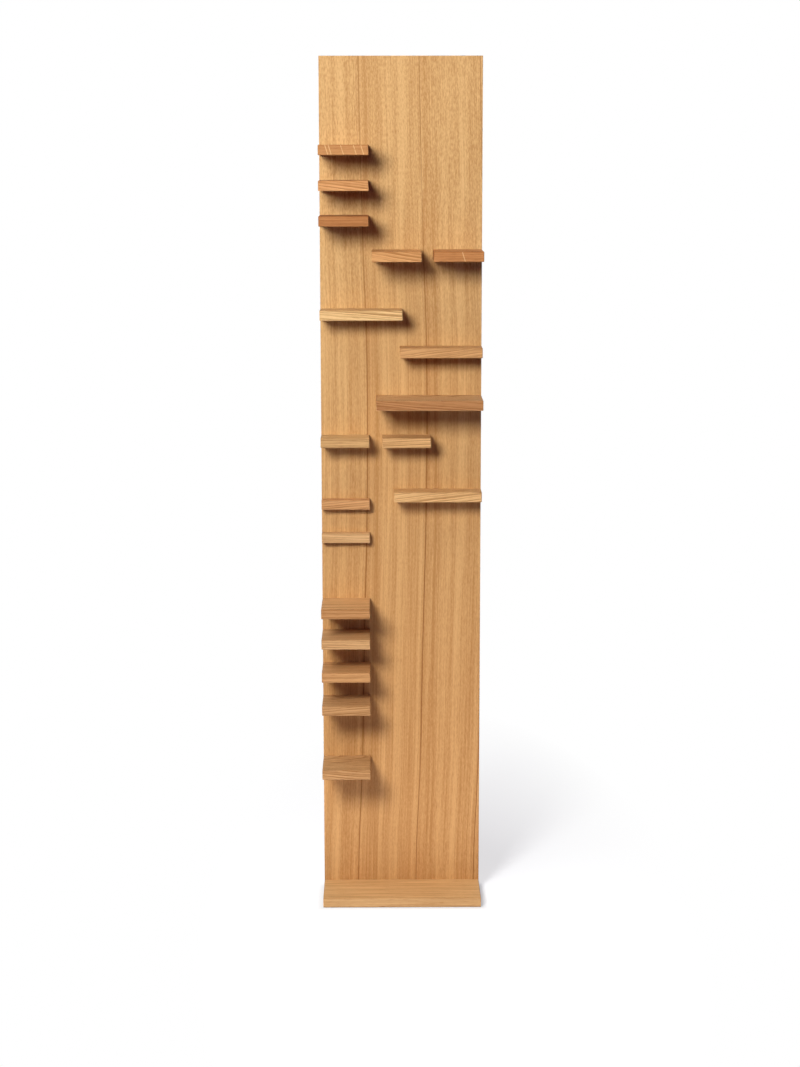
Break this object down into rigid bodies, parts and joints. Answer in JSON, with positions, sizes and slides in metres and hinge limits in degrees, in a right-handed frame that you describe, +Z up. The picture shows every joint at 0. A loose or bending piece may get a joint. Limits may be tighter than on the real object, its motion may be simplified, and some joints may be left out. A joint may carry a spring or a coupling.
{
  "type": "spine bookshelf",
  "caption": "Tall narrow oak bookshelf: an upright back panel on a base board with small ledge shelves of differing lengths and depths for books stacked flat.",
  "frame": {"origin": "centre of the box's footprint, on the floor", "axes": "+Z up along the back panel, -Y towards the reader, +Y towards the wall, +X to the reader's right"},
  "size_m": [0.34, 0.1402, 1.8],
  "materials": {
    "oak_veneer": "oiled oak veneer, satin",
    "solid_oak": "oiled solid oak, satin",
    "board_core": "raw fibreboard",
    "beech": "raw beech",
    "zinc_steel": "zinc plated"
  },
  "bodies": {
    "root": {"left_shelf_01": "solid_oak", "left_shelf_02": "solid_oak", "left_shelf_03": "solid_oak", "left_shelf_04": "solid_oak", "left_shelf_05": "solid_oak", "left_shelf_06": "solid_oak", "left_shelf_07": "solid_oak", "left_shelf_08": "solid_oak", "left_shelf_09": "solid_oak", "left_shelf_10": "solid_oak", "left_shelf_11": "solid_oak", "left_shelf_12": "solid_oak", "right_shelf_01": "solid_oak", "right_shelf_02": "solid_oak", "right_shelf_03": "solid_oak", "right_shelf_04": "solid_oak", "centre_shelf_01": "solid_oak", "centre_shelf_02": "solid_oak", "base_board": "solid_oak", "left_lipping": "solid_oak", "right_lipping": "solid_oak", "top_lipping": "solid_oak", "front_veneer": "oak_veneer", "rear_veneer": "oak_veneer", "back_panel_core": "board_core", "shelf_tenons": "beech", "strip_dowels": "beech", "base_tenons": "beech", "base_screws": "zinc_steel"}
  },
  "joints": []
}
